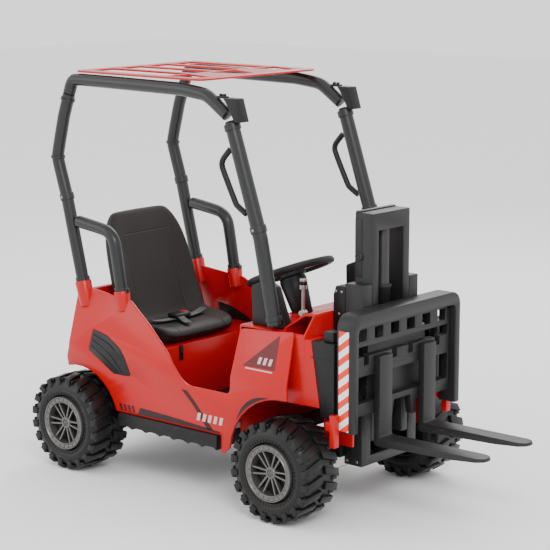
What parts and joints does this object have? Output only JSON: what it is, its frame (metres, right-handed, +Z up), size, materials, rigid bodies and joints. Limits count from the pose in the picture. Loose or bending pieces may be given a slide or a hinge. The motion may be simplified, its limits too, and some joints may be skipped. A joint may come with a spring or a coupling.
{
  "type": "ride-on toy forklift",
  "caption": "Battery ride-on toy forklift with roll cage, roof guard, seat, steering wheel, wide wheels and a two-stage mast that lifts a fork carriage.",
  "frame": {"origin": "centre of the bounding box's underside, on the ground between the four wheels", "axes": "+X forward towards the fork tips, +Y to the driver's left, +Z up"},
  "size_m": [1.1936, 0.584, 0.95],
  "materials": {
    "red_plastic": "glossy blow-moulded red plastic",
    "dark_grey_plastic": "satin dark grey moulded plastic",
    "black_plastic": "satin black moulded plastic",
    "grey_painted_tube": "smooth semi-gloss dark grey tube",
    "seat_plastic": "brown-black seat moulding with a fine grain",
    "tyre_plastic": "matte black blow-moulded tyre with a moulded tread",
    "rim_silver": "silver painted plastic",
    "zinc_steel": "zinc plated steel",
    "black_webbing": "woven black polyester webbing",
    "battery_case": "moulded battery case"
  },
  "bodies": {
    "truck": {"chassis": "black_plastic", "side_panel_L": "red_plastic", "side_panel_R": "red_plastic", "side_vent_L": "black_plastic", "side_vent_R": "black_plastic", "seat_box": "red_plastic", "rear_cover": "red_plastic", "dash_panel": "red_plastic", "nose_body": "red_plastic", "corner_box_L": "black_plastic", "corner_box_R": "black_plastic", "pillar_cover_L": "black_plastic", "pillar_cover_R": "black_plastic", "front_bumper": "red_plastic", "seat": "seat_plastic", "belt_strap": "black_webbing", "belt_buckle": "black_plastic", "rear_post_L": "grey_painted_tube", "rear_post_R": "grey_painted_tube", "roof_rail_L": "grey_painted_tube", "roof_rail_R": "grey_painted_tube", "front_pillar_L": "grey_painted_tube", "front_pillar_R": "grey_painted_tube", "side_bar_L": "grey_painted_tube", "side_bar_R": "grey_painted_tube", "grab_handle_L": "black_plastic", "grab_handle_R": "black_plastic", "roof_lamp_L": "black_plastic", "roof_lamp_R": "black_plastic", "roof_panel": "red_plastic", "column_housing": "black_plastic", "front_axle_beam": "zinc_steel", "rear_axle": "zinc_steel", "gear_motor_L": "dark_grey_plastic", "gear_motor_R": "dark_grey_plastic", "mast_outer": "dark_grey_plastic", "mast_mount": "black_plastic", "lift_cylinder": "dark_grey_plastic", "battery": "battery_case"},
    "steering": {"steering_wheel": "dark_grey_plastic", "steering_shaft": "zinc_steel"},
    "tie_rod_body": {"tie_rod": "zinc_steel"},
    "front_knuckle_L": {"knuckle_L": "zinc_steel"},
    "front_knuckle_R": {"knuckle_R": "zinc_steel"},
    "wheel_front_L": {"tyre_front_L": "tyre_plastic", "rim_front_L": "rim_silver"},
    "wheel_front_R": {"tyre_front_R": "tyre_plastic", "rim_front_R": "rim_silver"},
    "wheel_rear_L": {"tyre_rear_L": "tyre_plastic", "rim_rear_L": "rim_silver"},
    "wheel_rear_R": {"tyre_rear_R": "tyre_plastic", "rim_rear_R": "rim_silver"},
    "mast_stage": {"mast_inner": "dark_grey_plastic", "lift_rod": "zinc_steel"},
    "carriage": {"carriage_guard": "dark_grey_plastic", "carriage_grid": "dark_grey_plastic", "fork_L": "dark_grey_plastic", "fork_R": "dark_grey_plastic"},
    "lever": {"lift_lever": "zinc_steel"},
    "pedal": {"throttle_pedal": "black_plastic"}
  },
  "joints": [
    {"name": "steering_turn", "type": "hinge", "parent": "truck", "child": "steering", "pos_m": [-0.01625, 0, 0.5], "axis": [-0.3746, 0, 0.9272], "range_deg": [-45, 45]},
    {"name": "knuckle_L_steer", "type": "hinge", "parent": "truck", "child": "front_knuckle_L", "pos_m": [0.16475, 0.185, 0.1155], "axis": [0, 0, 1], "range_deg": [-15, 15]},
    {"name": "knuckle_R_steer", "type": "hinge", "parent": "truck", "child": "front_knuckle_R", "pos_m": [0.16475, -0.185, 0.1155], "axis": [0, 0, 1], "range_deg": [-15, 15]},
    {"name": "tie_rod_slide", "type": "slide", "parent": "truck", "child": "tie_rod_body", "axis": [0, 1, 0], "range_m": [-0.014, 0.014]},
    {"name": "wheel_front_L_spin", "type": "hinge", "parent": "front_knuckle_L", "child": "wheel_front_L", "pos_m": [0.16475, 0.235, 0.1155], "axis": [0, 1, 0], "continuous": true},
    {"name": "wheel_front_R_spin", "type": "hinge", "parent": "front_knuckle_R", "child": "wheel_front_R", "pos_m": [0.16475, -0.235, 0.1155], "axis": [0, 1, 0], "continuous": true},
    {"name": "wheel_rear_L_spin", "type": "hinge", "parent": "truck", "child": "wheel_rear_L", "pos_m": [-0.48125, 0.235, 0.1155], "axis": [0, 1, 0], "continuous": true},
    {"name": "wheel_rear_R_spin", "type": "hinge", "parent": "truck", "child": "wheel_rear_R", "pos_m": [-0.48125, -0.235, 0.1155], "axis": [0, 1, 0], "continuous": true},
    {"name": "mast_lift", "type": "slide", "parent": "truck", "child": "mast_stage", "axis": [0, 0, 1], "range_m": [0, 0.1]},
    {"name": "carriage_lift", "type": "slide", "parent": "mast_stage", "child": "carriage", "axis": [0, 0, 1], "range_m": [0, 0.1]},
    {"name": "lift_lever_tilt", "type": "hinge", "parent": "truck", "child": "lever", "pos_m": [0.05975, -0.045, 0.4185], "axis": [0, 1, 0], "range_deg": [-20, 20], "stiffness_Nm_per_rad": 0.6},
    {"name": "pedal_press", "type": "hinge", "parent": "truck", "child": "pedal", "pos_m": [-0.08025, -0.085, 0.168], "axis": [0, 1, 0], "range_deg": [0, 12], "stiffness_Nm_per_rad": 1.2, "springref_deg": -8.59}
  ],
  "couplings": [
    {"joint": "knuckle_L_steer", "follows": "steering_turn", "ratio": 0.3333},
    {"joint": "knuckle_R_steer", "follows": "steering_turn", "ratio": 0.3333},
    {"joint": "tie_rod_slide", "follows": "steering_turn", "m_per_rad": -0.016667},
    {"joint": "carriage_lift", "follows": "mast_lift", "ratio": 1}
  ]
}
